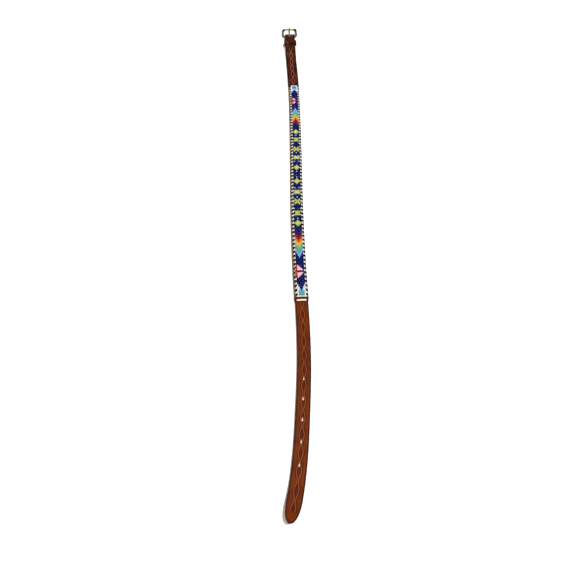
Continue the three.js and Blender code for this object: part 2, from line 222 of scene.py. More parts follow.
class Finish:
    """A material being made. Constants are set on its shader, and node() adds any other node."""

    def __init__(self, name, **constants):
        self.material = bpy.data.materials.new(name)
        self.material.use_nodes = True
        self.tree = self.material.node_tree
        self.shader = self.tree.nodes["Principled BSDF"]
        self.place = self.node("ShaderNodeTexCoord", {}, {}, "Object")
        for socket, value in constants.items():
            self.shader.inputs[socket.replace("_", " ").title().replace("Ior", "IOR")].default_value = value

    def node(self, kind, settings, inputs, output=0):
        added = self.tree.nodes.new(kind)
        for key, value in settings.items():
            setattr(added, key, value)
        for key, value in inputs.items():
            self.join(value, added.inputs[key])
        return Link(self, added.outputs[output])

    def join(self, value, socket):
        if isinstance(value, Link):
            self.tree.links.new(value.socket, socket)
        else:
            socket.default_value = value

    def mask(self, name):
        return self.node("ShaderNodeAttribute", {"attribute_name": name}, {}, "Fac")

    def noise(self, scale, detail=3.0, stretch=(1, 1, 1)):
        place = self.node("ShaderNodeMapping", {}, {"Vector": self.place, "Scale": stretch})
        return self.node("ShaderNodeTexNoise", {}, {"Vector": place, "Scale": scale, "Detail": detail})

    def cells(self, scale):
        return self.node("ShaderNodeTexVoronoi", {}, {"Vector": self.place, "Scale": scale}, "Distance")

    def spread(self, value, low, high):
        """value stretched so that low becomes 0 and high becomes 1."""
        inputs = {"Value": value, "From Min": low, "From Max": high}
        return self.node("ShaderNodeMapRange", {"interpolation_type": "SMOOTHSTEP"}, inputs)

    def blend(self, share, first, second, how="MIX"):
        settings = {"data_type": "RGBA", "blend_type": how}
        return self.node("ShaderNodeMix", settings, {0: share, 6: first, 7: second}, 2)

    def bump(self, height, strength, distance):
        inputs = {"Height": height, "Strength": strength, "Distance": distance}
        return self.node("ShaderNodeBump", {}, inputs)

    def shade(self, **links):
        for socket, value in links.items():
            self.join(value, self.shader.inputs[socket.replace("_", " ").title()])
        return self.material


def leather_finish(name):
    """Dyed leather, dark at the buckle and warm brown at the tip, darker at its dyed edges and inside the
    links, with painted shade in the tooled grooves, painted highlight on the raised lines and pale
    painted-highlight streaks near the buckle.
    """
    leather = Finish(name, specular_ior_level=0.12)
    along = leather.node("ShaderNodeSeparateXYZ", {}, {"Vector": leather.place}, "Y")
    near_buckle = leather.spread(along, -0.25, 0.42)
    body = leather.blend(near_buckle, tint("662800"), tint("481808"))
    cloud = leather.spread(leather.noise(70, 4), 0.36, 0.66)
    body = leather.blend(cloud * 0.8, body, leather.blend(near_buckle, tint("4e1c02"), tint("300c04")))
    streak = leather.noise(230, 4, (1, 0.3, 1))
    body = leather.blend(leather.spread(streak, 0.48, 0.6) * near_buckle * 0.85, body, tint("210602"))
    # Pale pink streaks near the buckle are painted highlight, the leather's sheen.
    body = leather.blend(leather.spread(streak, 0.44, 0.3) * near_buckle * 0.6, body, tint("8c5a4e"))
    # The raised tooled lines are lightened with painted highlight.
    ridge = leather.mask("ridge")
    body = leather.blend(ridge * 0.8, body, leather.blend(near_buckle, tint("8a4a20"), tint("96604c")))
    lens = leather.mask("lens")
    body = leather.blend(lens * 0.9, body, leather.blend(near_buckle, tint("520f00"), tint("2e0400")))
    # Painted shade darkens the tooled grooves, the keeper's creases and the patch in front of the keeper.
    groove = leather.mask("groove")
    body = leather.blend(groove * 0.85, body, tint("240802"))
    # The edge mask holds the dyed edges and also painted shade past the bead panel's ends and on the
    # keeper's upright sides.
    edge = leather.mask("edge")
    body = leather.blend((edge * 0.95).clamp(), body, tint("1c0703"))
    flesh = leather.mask("flesh")
    nap = leather.blend(leather.spread(leather.noise(900, 5), 0.3, 0.7), tint("67502f"), tint("837049"))
    body = leather.blend(flesh, body, nap)
    grain = leather.cells(900.0)
    crease = leather.noise(260, 5, (1, 0.45, 1))
    rough = 0.42 + 0.16 * cloud + 0.25 * flesh + 0.12 * groove
    height = (0.55 * grain + 0.6 * crease) * (1 - 0.4 * flesh) + leather.noise(2600, 3) * flesh
    return leather.shade(base_color=body, roughness=rough, normal=leather.bump(height, 0.35, 0.00025))


def cut_finish():
    """The raw wall of a punched hole or slot, with its fibres cut across."""
    cut = Finish("cut_leather", specular_ior_level=0.2)
    fibre = cut.noise(1800, 4, (1, 1, 0.3))
    body = cut.blend(cut.spread(fibre, 0.35, 0.65), tint("a8683c"), tint("d8a67c"))
    return cut.shade(base_color=body, roughness=0.7 + 0.2 * fibre, normal=cut.bump(fibre, 0.4, 0.0002))


tooled_leather = leather_finish("tooled_leather")
cut_leather = cut_finish()


def run_width_at(behind):
    """Width of the strap without its rounded tip."""
    past = smoothstep(behind, PANEL_TO + SEAT_MARGIN, PANEL_TO + NARROWING)
    return STRAP_WIDTH + (BILLET_WIDTH - STRAP_WIDTH) * past


def width_at(behind):
    angle = np.arccos(1 - np.clip(TIP - behind, 0, TIP_TAPER) / TIP_TAPER)
    return run_width_at(behind) * np.sin(np.maximum(angle, TIP_NOSE)) ** TIP_FULLNESS


def leather_at(behind):
    run = FOLD_LEATHER + (LEATHER - FOLD_LEATHER) * smoothstep(behind, 0, PARED_LENGTH)
    seated = (behind > PANEL_FROM - SEAT_MARGIN) & (behind < PANEL_TO + SEAT_MARGIN)
    return np.where(seated, PANEL_LEATHER, run)


def underside_at(behind):
    i = np.clip(np.searchsorted(UNDERSIDE[:, 0], behind) - 1, 0, len(UNDERSIDE) - 2)
    share = smoothstep(behind, UNDERSIDE[i, 0], UNDERSIDE[i + 1, 0])
    height = UNDERSIDE[i, 1] + (UNDERSIDE[i + 1, 1] - UNDERSIDE[i, 1]) * share
    lift = np.clip(1 - (TIP - behind) / TIP_LIFT_LENGTH, 0, 1)
    return height + TIP_LIFT * lift**2


HOLE_COUNT = 5
HOLE_PITCH = 25
FIRST_HOLE = TIP - 59
LINK_PITCH = 19.6
TIP_LINK = FIRST_HOLE + 6.9
BUCKLE_LINK = PANEL_FROM - 17
WAVE_MIDDLE = 1.65
WAVE_SWING = 0.95
# Each tooled line: how far outside the links' outline or in from the strap's it runs, and its half width
OUTER_GROOVE = (1.05, 0.4)
INNER_GROOVE = (-0.85, 0.3)
RIDGE = (0, 0.55)
EDGE_LINE = (1.45, 0.26)
EDGE_LINE_SHARE = 0.8
GROOVE_DEPTH = 0.35
RIDGE_HEIGHT = 0.1
LENS_RIM = (0.5, 1.1)
LENS_DEPTH = 0.14
# Places behind the bar where each part starts, is in full, starts to fade and ends. The keeper's shadow
# is painted shadow just in front of the keeper, cut in a little, and the first link grows out of it.
TIP_LINKS = (PANEL_TO + 8, PANEL_TO + 10, TIP - 12, TIP - 10)
BUCKLE_LINKS = (43, 45, PANEL_FROM - 7, PANEL_FROM - 5)
KEEPER_SHADOW = (34, 35, 40, 42)
BEAD_SEAT = (PANEL_FROM - 4, PANEL_FROM - 3, PANEL_TO + 3, PANEL_TO + 4)
KEEPER_SHADOW_SIDE = (2.4, 3.6)
TOOLED_FROM = 8


def edge_distance(across, behind):
    """How far in from the strap's outline a place lies, round its tip too."""
    side = run_width_at(behind) / 2 - np.abs(across)
    past = np.clip(behind - (TIP - TIP_TAPER), 0, None)
    share = np.abs(across) * 2 / BILLET_WIDTH
    power = 2 / TIP_FULLNESS
    reach = 1 - share**power - (past / TIP_TAPER) ** 2
    steep = np.hypot(power * share ** (power - 1) * 2 / BILLET_WIDTH, 2 * past / TIP_TAPER**2)
    return np.where(past > 0, reach / np.maximum(steep, 0.05), side)


def line_cut(distance, line):
    """Share of a tooled line's depth at each distance from where lines are measured."""
    middle, half_width = line
    return np.exp(-(((distance - middle) / half_width) ** 2))


def within(behind, starts, full, fades, ends):
    return smoothstep(behind, starts, full) * (1 - smoothstep(behind, fades, ends))


def tooling(across, behind):
    """Shares of groove, of raised ridge and of link's inside, for places on the strap's face. The groove
    share also holds the painted shadow in front of the keeper.
    """
    from_link = behind - np.where(behind > PANEL_TO, TIP_LINK, BUCKLE_LINK)
    phase = 2 * math.pi * from_link / LINK_PITCH
    wave = WAVE_MIDDLE + WAVE_SWING * np.cos(phase)
    slope = WAVE_SWING * np.sin(phase) * 2 * math.pi / LINK_PITCH
    out = (np.abs(across) - wave) / np.hypot(1, slope)
    linked = within(behind, *TIP_LINKS) + within(behind, *BUCKLE_LINKS)
    groove = np.maximum(line_cut(out, OUTER_GROOVE), line_cut(out, INNER_GROOVE)) * linked
    ridge = line_cut(out, RIDGE) * linked
    lens = smoothstep(-out, *LENS_RIM) * linked
    line = line_cut(edge_distance(across, behind), EDGE_LINE) * EDGE_LINE_SHARE
    # Painted shadow of the keeper, just in front of it in the strap's middle; it also cuts the leather in a
    # little.
    keeper_shadow = within(behind, *KEEPER_SHADOW) * (1 - smoothstep(np.abs(across), *KEEPER_SHADOW_SIDE))
    groove = np.maximum(groove, keeper_shadow)
    return np.maximum(groove, line * (1 - within(behind, *BEAD_SEAT))), ridge, lens


STATION_STEP = 0.8
SEAT_STATION_STEP = 4.0
# Stations on both sides of the step down to the bead panel's seat
STEP_STATIONS = np.array([0.3, 0.08, -0.02])
TAIL_STEP = 2
NOSE_STATIONS = 18
FOLD_STATIONS = 25


def strap_stations():
    """The strap from its tip over the fold to its turned-back end, as rows of distance behind the bar,
    height of its middle, outward direction (behind, up), thickness and width."""
    seat_from, seat_to = PANEL_FROM - SEAT_MARGIN, PANEL_TO + SEAT_MARGIN
    nose = np.linspace(TIP_NOSE, math.pi / 2, NOSE_STATIONS)
    run = np.concatenate([
        TIP - TIP_TAPER * (1 - np.cos(nose)),
        np.arange(TIP - TIP_TAPER - STATION_STEP, seat_to + 0.7, -STATION_STEP),
        seat_to + STEP_STATIONS,
        np.arange(PANEL_TO - 2, PANEL_FROM, -SEAT_STATION_STEP),
        seat_from - STEP_STATIONS[::-1],
        np.arange(seat_from - 1, 1, -STATION_STEP),
    ])
    thickness = leather_at(run)
    middle = underside_at(run) + thickness / 2
    seated = np.abs(run - (PANEL_FROM + PANEL_TO) / 2) < (PANEL_TO - PANEL_FROM) / 2 + 3
    rise = np.where(seated, 0, np.gradient(middle, -run))
    lean = np.arctan(rise)
    upper = np.stack([run, middle, np.sin(lean), np.cos(lean), thickness, width_at(run)], -1)
    angle = np.linspace(math.pi / 2, -math.pi / 2, FOLD_STATIONS)
    reach = FOLD_INNER + FOLD_LEATHER / 2
    full = 0 * angle + 1
    fold = np.stack([
        -reach * np.cos(angle), BAR.z + reach * np.sin(angle), -np.cos(angle), np.sin(angle),
        FOLD_LEATHER * full, STRAP_WIDTH * full,
    ], -1)
    back = np.arange(TAIL_STEP, TAIL_LENGTH + 1, float(TAIL_STEP))
    ones = 0 * back + 1
    tail = np.stack([
        back, FOLD_LEATHER / 2 * ones, 0 * ones, -ones, FOLD_LEATHER * ones, STRAP_WIDTH * ones,
    ], -1)
    return np.concatenate([upper, fold, tail])


def slot_prisms(name, slots):
    """Upright cutters with round ends: rows of middle, length along the belt, width and levels.
    A level is a height and how far in from the full outline the cutter is there."""
    points, faces = [], []
    angle = np.linspace(0, 2 * math.pi, 28, endpoint=False)
    for behind, length, width, levels in slots:
        radius = min(length, width) / 2
        turn = turn_at(behind)
        start = sum(len(p) for p in points)
        for level, inset in levels:
            reach = radius - inset
            u = reach * np.cos(angle) + np.sign(np.cos(angle).round(6)) * (width / 2 - radius)
            v = reach * np.sin(angle) + np.sign(np.sin(angle).round(6)) * (length / 2 - radius)
            x = BAR.x + shift_at(behind) + u * np.cos(turn) + v * np.sin(turn)
            y = BAR.y - behind + u * np.sin(turn) - v * np.cos(turn)
            points.append(np.stack([x, y, 0 * x + level], -1) * MM)
        faces += [[k + start for k in face] for face in lattice_faces(len(levels), len(angle), False)]
    cutter = mesh_piece(name, np.concatenate(points), faces, [tooled_leather, cut_leather])
    cutter.data.polygons.foreach_set("material_index", [1] * len(faces))
    return cutter


PRONG_WIDTH = 1.9
HOLE_LENGTH = 4.6
HOLE_WIDTH = 2.3
HOLE_INSET = 0.5
SLIT_WIDTH = 2.9
SLIT_PLACE = PANEL_TO + 4.6
SLIT_LENGTH = 13
SLOT_FRONT = 2 * (FOLD_INNER + FOLD_LEATHER)
SLOT_BACK_UPPER = 11
SLOT_BACK_LOWER = 5
# Heights at which the cutters start and end, well clear of the leather, and their overlap at the bar
CUT_LOW = -5
CUT_HIGH = 20
CUT_OVERLAP = 0.2
STRAP_BEVEL = 0.35
STRAP_COLUMNS = 54


def punched(behind):
    """Levels of a punched hole's cutter, which is narrower at the leather's underside."""
    under = float(underside_at(np.array(behind)))
    return [(CUT_LOW, HOLE_INSET), (under, HOLE_INSET), (under + LEATHER, 0), (CUT_HIGH, 0)]


def make_strap():
    stations = strap_stations()
    u, w = strip_section(HALF_WIDTH, LEATHER, STRAP_BEVEL, STRAP_COLUMNS)
    behind, middle, out_behind, out_up, thickness, width = (column[:, None] for column in stations.T)
    across = u * width / STRAP_WIDTH
    out = w + np.sign(w) * (thickness - LEATHER) / 2
    groove, ridge, lens = tooling(across, behind + 0 * across)
    on_face = (w > LEATHER / 2 - HAIR) & (np.abs(u) < HALF_WIDTH - 0.3)
    seated = (behind > PANEL_FROM - 0.7) & (behind < PANEL_TO + 0.7)
    carved = (behind > TOOLED_FROM) & on_face & ~seated
    under = (np.arange(len(stations)) >= len(stations) - TAIL_LENGTH // TAIL_STEP)[:, None]
    relief = GROOVE_DEPTH * groove + LENS_DEPTH * lens - RIDGE_HEIGHT * ridge
    out = out - np.where(carved & ~under, relief, 0)
    points = laid(-across, behind + out * out_behind, middle + out * out_up)
    faces = lattice_faces(len(stations), len(u), False)
    blank = mesh_piece("strap_blank", points, faces, [tooled_leather, cut_leather])
    upper = SLOT_BACK_UPPER + SLOT_FRONT
    lower = SLOT_BACK_LOWER + SLOT_FRONT
    slot_width = PRONG_WIDTH + 2 * CLEARANCE
    holes = FIRST_HOLE - HOLE_PITCH * np.arange(HOLE_COUNT)
    slots = [(hole, HOLE_LENGTH, HOLE_WIDTH, punched(hole)) for hole in holes]
    slots.append((SLIT_PLACE, SLIT_WIDTH, SLIT_LENGTH, [(CUT_LOW, 0), (CUT_HIGH, 0)]))
    slots.append((upper / 2 - SLOT_FRONT, upper, slot_width, [(BAR.z - CUT_OVERLAP, 0), (CUT_HIGH, 0)]))
    under_slot = (lower / 2 - SLOT_FRONT, lower, slot_width, [(CUT_LOW, 0), (BAR.z + CUT_OVERLAP, 0)])
    punches = [slot_prisms("upper_punch", slots), slot_prisms("lower_punch", [under_slot])]
    for punch in punches:
        cut = blank.modifiers.new(punch.name, "BOOLEAN")
        cut.operation = "DIFFERENCE"
        cut.solver = "MANIFOLD"
        cut.object = punch
    bpy.context.view_layer.update()
    ready = blank.evaluated_get(bpy.context.evaluated_depsgraph_get())
    mesh = bpy.data.meshes.new_from_object(ready)
    mesh.name = "leather_strap"
    strap = bpy.data.objects.new("leather_strap", mesh)
    bpy.context.scene.collection.objects.link(strap)
    for piece in [blank, *punches]:
        bpy.data.objects.remove(piece)
    return strap


# How far in from the strap's outline its dye is full and fades out, and how much further at the buckle
DYE_FULL = 0.35
DYE_REACH = 1.7
BUCKLE_DYE = 0.9
# Painted shade on the leather just past the bead panel's ends, beside the raised beads
PANEL_END_SHADE_REACH = 3.6
PANEL_END_SHADE = 0.75
FLESH_MARGIN = 0.5


def paint_strap(strap):
    """The masks that the leather's finish reads: tooling, dyed edges with painted shade past the bead
    panel's ends, and flesh side with bead seat.
    """
    mesh = strap.data
    points = np.empty(len(mesh.vertices) * 3)
    mesh.vertices.foreach_get("co", points)
    points = points.reshape(-1, 3)
    across, behind = unlaid(points)
    height = points[:, 2] / MM
    from_bar = np.hypot(behind, height - BAR.z)
    middle = underside_at(behind) + leather_at(behind) / 2
    tail = (behind <= TAIL_LENGTH + 0.5) & (height < FOLD_LEATHER + 0.05) & (behind > 0)
    flesh = np.where(tail, height > FOLD_LEATHER / 2, height < middle)
    flesh = np.where(behind <= 0, from_bar < FOLD_INNER + FOLD_LEATHER / 2, flesh)
    groove, ridge, lens = tooling(across, behind)
    face = ~flesh & ~tail & (behind > TOOLED_FROM)
    dyed = DYE_REACH + BUCKLE_DYE * (behind < PANEL_FROM)
    edge = 1 - smoothstep(edge_distance(across, behind), DYE_FULL, dyed)
    pared = (behind > PANEL_FROM) & (behind < PANEL_TO) & ~tail
    edge = np.where(pared, 0, edge)
    past_panel = np.maximum(PANEL_FROM - behind, behind - PANEL_TO)
    panel_end_shade = (past_panel > 0) * (1 - smoothstep(past_panel, PANEL_END_SHADE_REACH - 1, PANEL_END_SHADE_REACH))
    # The band past each end of the bead panel is painted shade, carried in the edge mask.
    edge = np.maximum(edge, PANEL_END_SHADE * panel_end_shade)
    set_mask(strap, "groove", groove * face)
    set_mask(strap, "ridge", ridge * face)
    set_mask(strap, "lens", lens * face)
    set_mask(strap, "edge", edge)
    set_mask(strap, "flesh", np.where(pared, 1, flesh * (edge_distance(across, behind) > FLESH_MARGIN)))


leather_strap = make_strap()
paint_strap(leather_strap)
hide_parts("strap")
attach(leather_strap, "strap")


# Bead panel
# Eleven columns of small glass beads on twelve white warp threads, woven on a loom with one row to
# each pass of the weft. A bead's hole lies across the belt. The finished weave is sewn to the
# thinned leather, a little nearer its right edge. A thread turns back at the end of each row.

BEAD_COLUMNS = 11
PANEL_WIDTH = 16.8
PANEL_ASIDE = 0.8
COLUMN_PITCH = PANEL_WIDTH / BEAD_COLUMNS
BEAD_RADIUS = 0.9
BEAD_MIDDLE = PANEL_LEATHER + CLEARANCE + BEAD_RADIUS
# Half of a bead's outline: place along its hole and distance from its hole's axis
BEAD_OUTLINE = np.array([
    (-0.52, 0.4), (-0.74, 0.58), (-0.57, 0.82), (0.0, 0.9), (0.57, 0.82), (0.74, 0.58), (0.52, 0.4),
])
# How much painted shade each place of the outline takes, round the hole
BEAD_HOLE_SHADE = [1.0, 0.45, 0.0, 0.0, 0.0, 0.45, 1.0]
BEAD_SIDES = 12
BEAD_SEED = 11
# Spreads of a bead's turn in radians, of its size as a share, and of its place
BEAD_TURN = 0.035
BEAD_SMALLER = 0.025
BEAD_DRIFT = 0.03

GLASS = {
    "N": ("navy", "03175c"), "W": ("white", "e9e6e5"), "K": ("black", "010102"),
    "B": ("light_blue", "7fb4e6"), "T": ("teal", "5fa9a6"), "G": ("green", "74b184"),
    "Y": ("yellow", "dfc24a"), "O": ("orange", "dc8230"), "R": ("red", "a32a18"),
    "P": ("plum", "561050"), "S": ("pink", "f6c6dc"), "L": ("lime", "bcc770"),
    "I": ("ice_blue", "d3e6fb"), "C": ("steel_blue", "6078a6"),
}

# The ends of the panel, one string for each row of the inner columns, from the end inwards
TIP_CHART = [
    "WWWWWWW", "WTTTTTW", "WTTTTTW", "WTTBTTW", "WTBBBTW", "WBBNBBW",
    "WWBNBWW", "WWNNNWW", "WWNNNWW", "WNNNNNW", "WNNNNNW",
]
BUCKLE_CHART = [
    "IIIIIII", "IICCCII", "ICCCCCI", "ICCCCCI", "ICBBBCI", "ICBBBCI", "IIBBBII",
    "IIINIII", "IINNNII", "INNNNNI", "INNNNNI",
]
# Half of the boat near each end of the panel, from its mast outwards, its hull at the left
BOAT_CHART = ["RPPPPPP", "RSSSSSP", "RSSSSP.", "RSSSP..", "RSSP...", "RSP....", "P......"]
SMALL_BOAT_CHART = ["RRPPPPP", "RPSSPPP", "RSSSPP.", "RSSPP..", "RPPP...", "PPP....", ".P....."]
BUCKLE_BOAT = 24.5
TIP_BOAT = 22.5
HULL_EDGE = "ROORR"
# How many rows the black corners at the buckle's end take in the edge column and in the next
CAP_SHOULDER = (7, 2)
# The slanting bands past each boat, from the panel's end inwards
BAND_CHART = "BTGYORP"
BAND_FROM = 36
BAND_ROWS = 3.1
BAND_SLOPE = 1.75
# The figures of the middle, each drawn for this belt
DIAMOND = [
    "KKKLKKK", "KKLLLKK", "KLLLLLK", "LLLWLLL", "KLLLLLK", "KKLLLKK", "KKKLKKK", "N.....N", "...I...",
]
HOURGLASS = [
    "LLLLLLL", "KLLLLLK", "KKLOLKK", "KLLLLLK", "LLLLLLL", "KKKKKKK", ".......", "I.....I",
]
STAR = [
    "KLKKKLK", "KLLKLLK", "LLLLLLL", "KKLOLKK", "LLLLLLL", "KLLKLLK", "KLKKKLK", ".......", "...I...",
]
ROSETTE = [
    "KLLKLLK", "LLLWLLL", "KLWOWLK", "LLLWLLL", "KLLKLLK", "KKKKKKK", ".......", ".I...I.",
]
FIGURES = [DIAMOND, HOURGLASS, STAR, ROSETTE, DIAMOND]
FIGURES_FROM = 68
FIGURE_PITCH = 12


def chart_colour(chart, row, column):
    """The chart's glass at a row and column, or None where it is open."""
    if not 0 <= row < len(chart) or chart[row][column] == ".":
        return None
    return chart[row][column]


def bead_colour(row, column):
    """The glass of one bead, counted from the buckle's end and from the left edge."""
    from_side = min(column, BEAD_COLUMNS - 1 - column)
    from_end = min(row, BEAD_ROWS - 1 - row)
    at_buckle = row < BEAD_ROWS / 2
    from_mast = int(abs(from_end - (BUCKLE_BOAT if at_buckle else TIP_BOAT)))
    if column == 1 and from_mast < len(HULL_EDGE):
        return HULL_EDGE[from_mast]
    if at_buckle and from_side < 2 and from_end < CAP_SHOULDER[from_side]:
        return "K"
    if from_side < 2:
        return "K" if (row - 1) % 4 < (2 if from_side == 1 else 3) else "W"
    inner = column - 2
    off_middle = abs(column - 5)
    picture = chart_colour(BUCKLE_CHART if at_buckle else TIP_CHART, from_end, inner)
    picture = picture or chart_colour(SMALL_BOAT_CHART if at_buckle else BOAT_CHART, from_mast, inner)
    if picture:
        return picture
    band = math.floor((from_end - BAND_FROM - BAND_SLOPE * off_middle) / BAND_ROWS)
    if 0 <= band < len(BAND_CHART):
        return BAND_CHART[band]
    place = from_end - FIGURES_FROM
    if place >= 0:
        figure = FIGURES[min(place // FIGURE_PITCH, len(FIGURES) - 1)]
        return chart_colour(figure, place % FIGURE_PITCH, inner) or "N"
    return "N"


def glass_finish(name, code):
    """Pressed glass, glossy, each bead a little lighter or darker, with painted shade round its hole."""
    glass = Finish(name, roughness=0.12, specular_ior_level=0.16)
    dark = tuple(0.45 * part for part in tint(code)[:3]) + (1.0,)
    body = glass.blend(glass.mask("tone") * 0.4, tint(code), dark)
    # Painted shade round the bead's hole.
    body = glass.blend(glass.mask("hole_shade") * 0.6, body, tuple(0.2 * part for part in dark[:3]) + (1.0,))
    return glass.shade(base_color=body)


def place_beads(rng):
    """Each bead's row and column, with its turn, size, drift, tone and roll from one seeded source."""
    rows, columns = np.meshgrid(np.arange(BEAD_ROWS), np.arange(BEAD_COLUMNS), indexing="ij")
    count = rows.size
    return {
        "row": rows.ravel(),
        "column": columns.ravel(),
        "turn": rng.normal(0, BEAD_TURN, (count, 2)),
        "size": 1 - np.abs(rng.normal(0, BEAD_SMALLER, count)),
        "drift": rng.normal(0, BEAD_DRIFT, (count, 3)),
        "tone": rng.uniform(0, 1, count),
        "roll": rng.uniform(0, 2 * math.pi, count),
    }


def map_beads(piece, count):
    """A UV map with one square cell to a bead, round the bead in u and along its outline in v."""
    corners = np.empty(len(piece.data.loops), np.int32)
    piece.data.loops.foreach_get("vertex_index", corners)
    corners = corners.reshape(-1, 4)
    bead, place = np.divmod(corners, len(BEAD_OUTLINE) * BEAD_SIDES)
    along, around = np.divmod(place, BEAD_SIDES)
    along = np.where((np.ptp(along, axis=1)[:, None] > 1) & (along == 0), len(BEAD_OUTLINE), along)
    around = np.where((np.ptp(around, axis=1)[:, None] > 1) & (around == 0), BEAD_SIDES, around)
    cells = math.ceil(math.sqrt(count))
    u = (bead % cells + (around + 0.5) / (BEAD_SIDES + 1)) / cells
    v = (bead // cells + (along + 0.5) / (len(BEAD_OUTLINE) + 1)) / cells
    layer = piece.data.uv_layers.new(name="OFBake")
    layer.uv.foreach_set("vector", np.stack([u, v], -1).ravel().astype(np.float32))


def bead_piece(name, code, beads, chosen):
    """All the beads of one glass as one mesh."""
    count = chosen.sum()
    pick = {key: value[chosen] for key, value in beads.items()}
    angle = np.arange(BEAD_SIDES) * 2 * math.pi / BEAD_SIDES
    ring = angle[None, None, :] + pick["roll"][:, None, None]
    along = BEAD_OUTLINE[None, :, 0, None] * pick["size"][:, None, None]
    radius = BEAD_OUTLINE[None, :, 1, None] * pick["size"][:, None, None]
    side = radius * np.cos(ring)
    up = radius * np.sin(ring)
    yaw, pitch = pick["turn"][:, 0, None, None], pick["turn"][:, 1, None, None]
    across = along - side * yaw - up * pitch
    back = side + along * yaw
    up = up + along * pitch
    middle_across = PANEL_ASIDE + (pick["column"] - (BEAD_COLUMNS - 1) / 2) * COLUMN_PITCH
    middle_across = middle_across + pick["drift"][:, 0]
    middle_behind = PANEL_FROM + (pick["row"] + 0.5) * ROW_PITCH + pick["drift"][:, 1]
    middle_up = BEAD_MIDDLE + pick["drift"][:, 2]
    points = laid(
        across + middle_across[:, None, None],
        back + middle_behind[:, None, None],
        up + middle_up[:, None, None],
    )
    outline = len(BEAD_OUTLINE)
    quad = np.array(lattice_faces(outline, BEAD_SIDES, True))
    step = outline * BEAD_SIDES
    faces = (quad[None] + np.arange(count)[:, None, None] * step).reshape(-1, 4)
    piece = mesh_piece(name, points, faces.tolist(), [glass_finish(name, code)])
    map_beads(piece, count)
    set_mask(piece, "hole_shade", np.tile(np.repeat(BEAD_HOLE_SHADE, BEAD_SIDES), count))
    set_mask(piece, "tone", np.repeat(pick["tone"], step))
    return piece


def make_beads():
    beads = place_beads(np.random.default_rng(BEAD_SEED))
    colours = np.array([bead_colour(r, c) for r, c in zip(beads["row"], beads["column"])])
    pieces = []
    for letter, (glass, code) in GLASS.items():
        chosen = colours == letter
        if chosen.any():
            pieces.append(bead_piece(f"{glass}_beads", code, beads, chosen))
    return pieces


def tube_piece(name, paths, radius, sides, materials):
    """Round threads along paths of points in metres, as one mesh."""
    points, faces = [], []
    angle = np.arange(sides) * 2 * math.pi / sides
    start = 0
    for path in paths:
        ahead = np.gradient(path, axis=0)
        ahead /= np.linalg.norm(ahead, axis=1)[:, None]
        side = np.cross(ahead, (0.03, 0.02, 1.0))
        side /= np.linalg.norm(side, axis=1)[:, None]
        up = np.cross(side, ahead)
        ring = np.cos(angle)[None, :, None] * side[:, None] + np.sin(angle)[None, :, None] * up[:, None]
        points.append((path[:, None] + radius * MM * ring).reshape(-1, 3))
        faces += [[k + start for k in face] for face in lattice_faces(len(path), sides, False)]
        start += len(path) * sides
    return mesh_piece(name, np.concatenate(points), faces, materials)


def thread_finish():
    """White bonded thread, dull and slightly warm, with its ply showing."""
    thread = Finish("white_thread", specular_ior_level=0.25)
    ply = thread.noise(2200, 2, (1, 1, 1))
    body = thread.blend(thread.spread(ply, 0.35, 0.65), tint("ddd3cc"), tint("f7f1ec"))
    return thread.shade(base_color=body, roughness=0.75 + 0.2 * ply, normal=thread.bump(ply, 0.5, 0.0002))


white_thread = thread_finish()
WARP_RADIUS = 0.09
WARP_MIDDLE = BEAD_MIDDLE - 0.75
WARP_OVERHANG = 0.3
WEFT_RADIUS = 0.06
WEFT_MIDDLE = BEAD_MIDDLE - 0.05
# A turn of the weft: its start in the last bead, its reach past the panel's edge and its rounding
WEFT_START = 0.45
WEFT_REACH = 0.02
WEFT_ROUNDING = 0.08
# Where a turn's points lie between two rows, in row pitches
WEFT_TURN = np.array([0, 0.12, 0.5, 0.88, 1])


def make_warps():
    behind = np.linspace(PANEL_FROM - WARP_OVERHANG, PANEL_TO + WARP_OVERHANG, BEAD_ROWS + 2)
    places = PANEL_ASIDE + (np.arange(BEAD_COLUMNS + 1) - BEAD_COLUMNS / 2) * COLUMN_PITCH
    paths = [laid(across + 0 * behind, behind, WARP_MIDDLE) for across in places]
    return tube_piece("warp_threads", paths, WARP_RADIUS, 6, [white_thread])


def make_turns():
    """Where the weft leaves one row's last bead and turns back into the next row's."""
    paths = []
    for row in range(BEAD_ROWS - 1):
        hand = 1 if row % 2 else -1
        edge = hand * ((PANEL_WIDTH - COLUMN_PITCH) / 2 + WEFT_START)
        reach = hand * (PANEL_WIDTH / 2 + WEFT_REACH)
        rounded = reach - hand * WEFT_ROUNDING
        across = np.array([edge, rounded, reach, rounded, edge])
        behind = PANEL_FROM + (row + 0.5) * ROW_PITCH + WEFT_TURN * ROW_PITCH
        paths.append(laid(PANEL_ASIDE + across, behind, WEFT_MIDDLE))
    return tube_piece("weft_turns", paths, WEFT_RADIUS, 6, [white_thread])


woven = make_beads()
warp_threads = make_warps()
weft_turns = make_turns()
for piece in [*woven, warp_threads, weft_turns]:
    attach(piece, "strap")
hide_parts("bead_panel")


# Thread bar
# The white warp threads past the panel's end, gathered, wrapped into a flat bundle and drawn through
# a slit across the leather, where they show as a bar that stands just proud of it.

STRAND_COUNT = 5
STRAND_RADIUS = 0.34
STRAND_SEED = 5
BAR_LENGTH = SLIT_LENGTH - 2 * CLEARANCE
BAR_BREADTH = SLIT_WIDTH - 2 * CLEARANCE
BAR_PROUD = 0.2
# How far the strands wander, sink at their ends and lie lower at the bar's sides
STRAND_WANDER = 0.06
STRAND_SINK = 1.3
STRAND_CAMBER = 0.22


